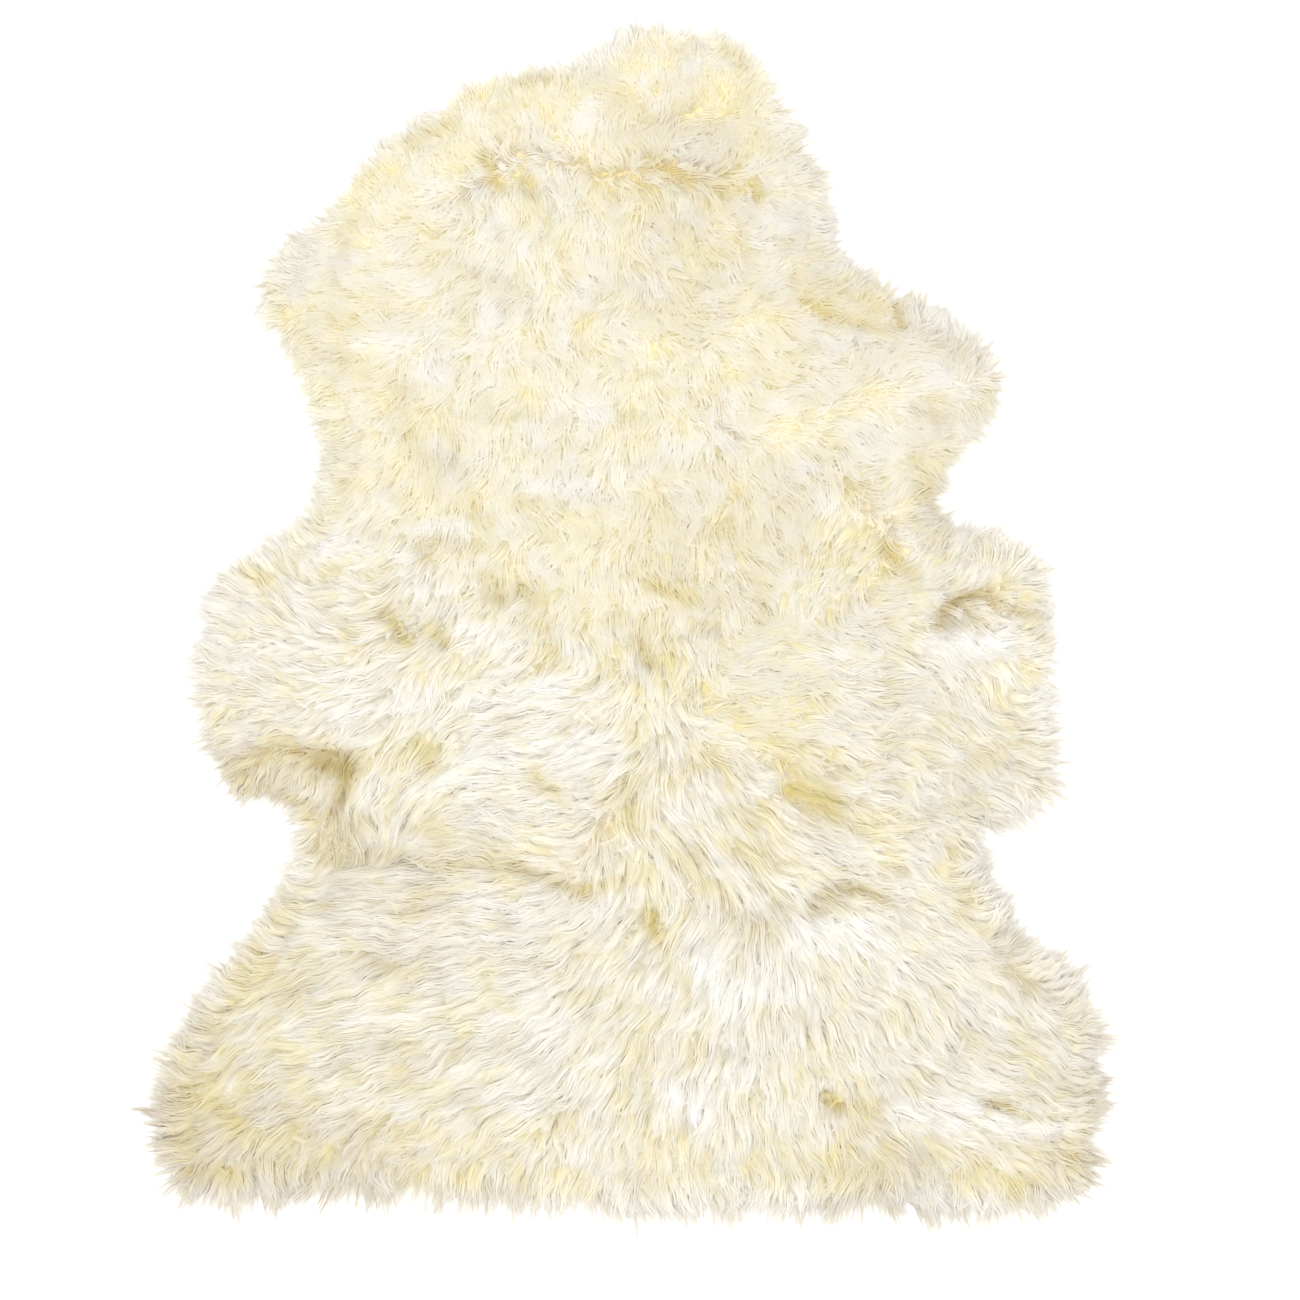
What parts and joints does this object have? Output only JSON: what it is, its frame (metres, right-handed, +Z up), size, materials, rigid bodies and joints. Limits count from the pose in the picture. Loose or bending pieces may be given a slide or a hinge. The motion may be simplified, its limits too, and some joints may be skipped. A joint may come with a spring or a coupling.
{
  "type": "sheepskin rug",
  "caption": "Flat one-piece sheepskin rug of cream long wool, pelt-shaped with neck, lobes and wide straight end, laid on a floor.",
  "frame": {"origin": "middle of the flat underside, where the rug rests on the floor", "axes": "+Z up out of the wool, +Y from the rump end to the neck, +X to the right seen from above with the neck up"},
  "size_m": [0.8926, 1.1148, 0.0614],
  "materials": {
    "wool": "soft, long, slightly lustrous cream wool",
    "hide": "matt suede flesh side of the tanned hide"
  },
  "bodies": {
    "root": {"sheepskin": "wool"}
  },
  "joints": []
}
